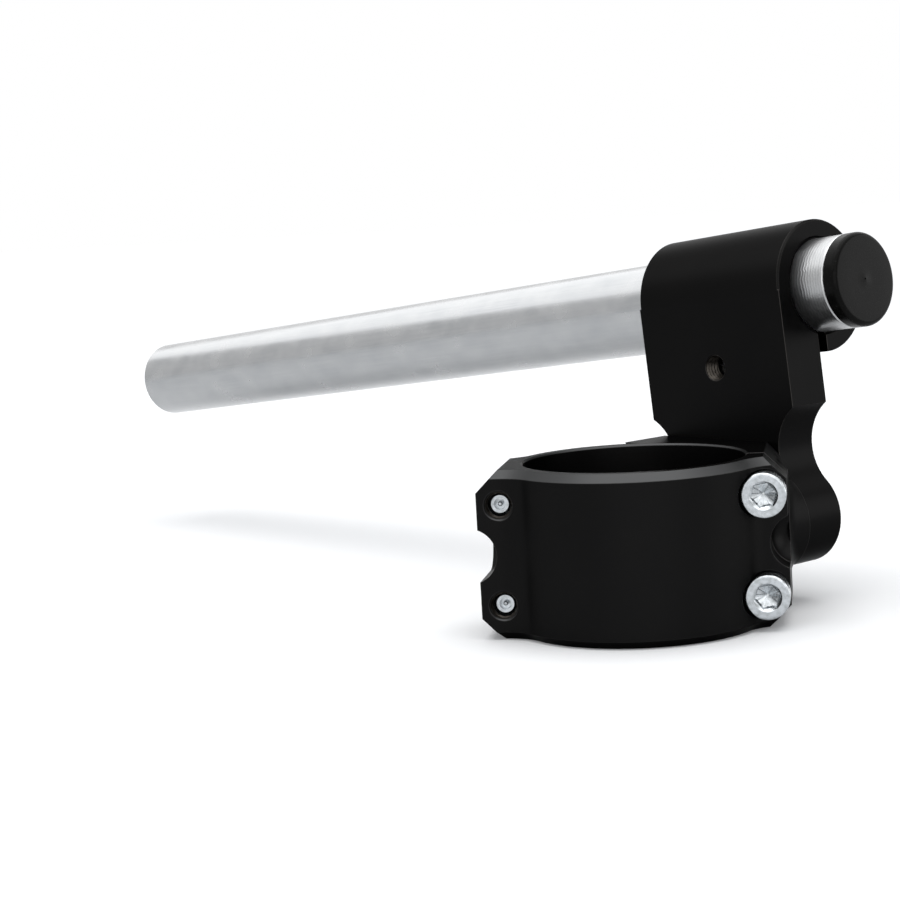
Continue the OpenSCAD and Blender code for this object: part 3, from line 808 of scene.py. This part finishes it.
M8_FACE = PLATE_T - 0.5
M6_FACE = PLATE_T - 0.25
for side, side_name in ((1, "inboard"), (-1, "outboard")):
    seat = RISER @ along((side * FOOT_SCREW_HALF, M8_FACE, 0), (0, 1, 0), math.radians(12 * side))
    flat_screw("foot_screw_" + side_name, "riser_screw_" + side_name, 8.0, 16.0, 5.0, 20.0, seat)
seat = RISER @ along((0, M6_FACE, FOOT_SCREW_RISE), (0, 1, 0), math.radians(25))
flat_screw("foot_screw_upper", "riser_screw_upper", 6.0, 12.0, 4.0, 16.0, seat)

# %% [markdown]
# ## Threads in the open holes
#
# Three tapped holes can be looked into: the far end of the pinch screw's hole in the back
# of the riser, and the two holes of the loose half in which the outboard tips end. The
# solids have them as plain bores. A thin threaded sleeve against the bore's wall gives each
# its thread: its inside is the same climbing wave as on a screw, and its outside is round.

# %% Threads in the open holes
def tapped_metal():
    """Thread cut through the black skin: half bare, brownish metal with a satin look."""
    material, tree, shader = new_material("tapped_metal", (0.05, 0.046, 0.041), 1.0, 0.34)
    coords = add(tree, "ShaderNodeTexCoord").outputs["Object"]
    cloud = add(tree, "ShaderNodeTexNoise", Scale=700.0, Detail=3.0)
    tree.links.new(coords, cloud.inputs["Vector"])
    colour = mix_colour(tree, cloud.outputs["Fac"], (0.018, 0.016, 0.014), (0.06, 0.054, 0.047))
    tree.links.new(colour, shader.inputs["Base Color"])
    tree.links.new(ramp(tree, cloud.outputs["Fac"], 0.28, 0.42, 0.3, 0.7), shader.inputs["Roughness"])
    return material


TAPPED = tapped_metal()

SLEEVE_R = 3.04
SLEEVE_CREST = 2.62
SLEEVE_WALL = 0.03
SLEEVE_COLS = 96
SLEEVE_STEPS = 12


def thread_sleeve(name, matrix, depth):
    """Sleeve on z from 0 to depth: inside r = root minus (root - crest) times a triangle wave.

    The rows run up the inside and down the outside, so they are turned round for ring_piece,
    whose rows run up the outside.
    """
    angle = np.linspace(0, 2 * np.pi, SLEEVE_COLS, endpoint=False)
    heights = np.linspace(0, depth, int(depth / M6_PITCH * SLEEVE_STEPS))[:, None]
    phase = np.mod(heights / M6_PITCH - angle / (2 * np.pi), 1.0)
    wave = np.clip(1.25 - np.abs(phase - 0.5) * 3.0, 0, 1)
    open_up = np.clip(heights / (0.6 * M6_PITCH), 0, 1)
    root = SLEEVE_R - SLEEVE_WALL
    inside = root - (root - SLEEVE_CREST) * wave * open_up
    radius = np.concatenate([inside, np.full((2, SLEEVE_COLS), SLEEVE_R)])
    ends = np.array([[depth], [0.0]])
    height = np.repeat(np.concatenate([heights, ends]), SLEEVE_COLS, 1)
    return ring_piece(name, radius[::-1], height[::-1], matrix, TAPPED)


thread_sleeve("thread_sleeve_riser", RISER @ along((0, 0.1, PINCH_Z), (0, 1, 0)), 4.2)
for side_z, side_name in ((1, "upper"), (-1, "lower")):
    mouth = (-CLAMP_SCREW_X, -THICK_FLANGE_T + 0.4, side_z * CLAMP_SCREW_Z)
    thread_sleeve("thread_sleeve_" + side_name, along(mouth, (0, 1, 0)), 2.0)

# %% [markdown]
# ## Floor and world
#
# The photograph has a plain white ground. The clamp stands on its lower rim here. The floor is
# a pale matt surface that takes the object's shadow. To the camera, to glossy metal and to
# glass it also glows a little, more with distance, so that it ends in the same white as the
# world behind it. The world is white to the same rays, and a softer grey as light.

# %% Floor and world
FLOOR_Z = -19.0 * MM
FLOOR_HALF = 6.0


def white_rays(tree):
    """1 for camera, transmission and glossy rays, and 0 for those that only carry light."""
    path = add(tree, "ShaderNodeLightPath").outputs
    seen = calc(tree, "MAXIMUM", path["Is Camera Ray"], path["Is Transmission Ray"])
    return calc(tree, "MAXIMUM", seen, path["Is Glossy Ray"])


def white_ground():
    """Matt floor, plus a glow for the white rays that grows from near to far."""
    material, tree, shader = new_material("white_ground", (0.92, 0.92, 0.92), 0.0, 0.9)
    shader.inputs["Specular IOR Level"].default_value = 0.0
    coords = add(tree, "ShaderNodeTexCoord").outputs["Object"]
    away = ramp(tree, distance_to(tree, coords, (0, 0, 0)), 0.08, 0.42, 0.3, 2.2)
    glow = add(tree, "ShaderNodeEmission", Color=(1.0, 1.0, 1.0, 1.0))
    tree.links.new(calc(tree, "MULTIPLY", white_rays(tree), away), glow.inputs["Strength"])
    both = add(tree, "ShaderNodeAddShader")
    tree.links.new(shader.outputs["BSDF"], both.inputs[0])
    tree.links.new(glow.outputs["Emission"], both.inputs[1])
    tree.links.new(both.outputs["Shader"], tree.nodes["Material Output"].inputs["Surface"])
    return material


def floor_plane():
    """Square under the clamp."""
    low, high = -FLOOR_HALF, FLOOR_HALF
    corners = [(low, low), (high, low), (high, high), (low, high)]
    mesh = bpy.data.meshes.new("floor")
    mesh.from_pydata([(x, y, FLOOR_Z) for x, y in corners], [], [(0, 1, 2, 3)])
    mesh.materials.append(white_ground())
    floor = bpy.data.objects.new("floor", mesh)
    bpy.context.scene.collection.objects.link(floor)
    return floor


def studio_world():
    """World: white for the white rays, a softer grey as light."""
    world = bpy.data.worlds.new("studio")
    bpy.context.scene.world = world
    world.use_nodes = True
    tree = world.node_tree
    tree.nodes.clear()
    light = add(tree, "ShaderNodeBackground", Color=(0.95, 0.97, 1.0, 1.0), Strength=0.7)
    white = add(tree, "ShaderNodeBackground", Color=(1.0, 1.0, 1.0, 1.0), Strength=1.0)
    mixed = add(tree, "ShaderNodeMixShader")
    tree.links.new(white_rays(tree), mixed.inputs["Fac"])
    tree.links.new(light.outputs["Background"], mixed.inputs[1])
    tree.links.new(white.outputs["Background"], mixed.inputs[2])
    out = add(tree, "ShaderNodeOutputWorld")
    tree.links.new(mixed.outputs["Shader"], out.inputs["Surface"])
    return world


floor = floor_plane()
world = studio_world()
print("stage:", floor.name, world.name)

# %% [markdown]
# ## Lamps
#
# One soft box overhead lights the object. Dark metal is seen by what it mirrors, so three more
# boxes are there for reflections alone: a wide one above for the housing's round, one in front
# for the clamp's face, and one at the right for the riser's side. They give no light to matt
# surfaces, so the colours stay as they are written.

# %% Lamps
POWER_PER_RADIANCE = 4


def softbox(name, place, aim, size, radiance, gloss_only=False):
    """Area lamp at place, turned to aim, in metres; its power follows from radiance and area."""
    lamp = bpy.data.lights.new(name, "AREA")
    lamp.shape = "RECTANGLE"
    lamp.size, lamp.size_y = size
    lamp.energy = POWER_PER_RADIANCE * radiance * size[0] * size[1]
    holder = bpy.data.objects.new(name, lamp)
    back = np.array(place, float) - np.array(aim, float)
    holder.matrix_world = along(np.array(place) / MM, back)
    holder.visible_camera = False
    holder.visible_diffuse = not gloss_only
    bpy.context.scene.collection.objects.link(holder)
    return holder


softbox("top_box", (0.0, 0.05, 1.1), (0.0, 0.05, 0.0), (1.2, 1.2), 1.6)
softbox("wide_box", (-0.3, 0.4, 1.2), (-0.3, 0.4, 0.0), (4.2, 3.6), 0.95, gloss_only=True)
softbox("front_box", (0.35, -1.5, 0.42), (0.0, 0.0, 0.05), (1.8, 0.8), 1.1, gloss_only=True)
softbox("right_box", (1.3, 0.25, 0.3), (0.0, 0.0, 0.05), (1.2, 0.7), 1.5, gloss_only=True)

# %% [markdown]
# ## Camera
#
# The camera's place, its three turns and its focal length come from fitting the sizes of the
# product to the photograph, so the render lies over it.

# %% Camera
CAMERA_PLACE = (45.9, -491.9, 80.1)
YAW_PITCH_ROLL = (10.1, 6.6, 3.38)
FOCAL_PX = 2206.0
PHOTO_PX = 900.0
SENSOR_MM = 36.0


def photo_camera():
    """Camera from the fit: place, yaw, pitch and roll, and the lens from the focal length."""
    place = np.array(CAMERA_PLACE) * MM
    yaw, pitch, roll = np.radians(YAW_PITCH_ROLL)
    ahead = np.array([
        -math.sin(yaw) * math.cos(pitch), math.cos(yaw) * math.cos(pitch), -math.sin(pitch)
    ])
    right = np.array([math.cos(yaw), math.sin(yaw), 0.0])
    down = np.cross(ahead, right)
    x = math.cos(roll) * right + math.sin(roll) * down
    y = math.sin(roll) * right - math.cos(roll) * down
    lens = bpy.data.cameras.new("photo_camera")
    lens.sensor_width = SENSOR_MM
    lens.lens = FOCAL_PX / PHOTO_PX * SENSOR_MM
    lens.clip_start, lens.clip_end = 0.01, 50.0
    camera = bpy.data.objects.new("photo_camera", lens)
    columns = np.stack([x, y, -ahead], axis=1)
    matrix = Matrix.Identity(4)
    for row in range(3):
        for col in range(3):
            matrix[row][col] = columns[row, col]
        matrix[row][3] = place[row]
    camera.matrix_world = matrix
    bpy.context.scene.collection.objects.link(camera)
    bpy.context.scene.camera = camera
    return camera


camera = photo_camera()
bpy.context.scene.view_settings.view_transform = "Standard"
print("lens", round(camera.data.lens, 2), "mm")
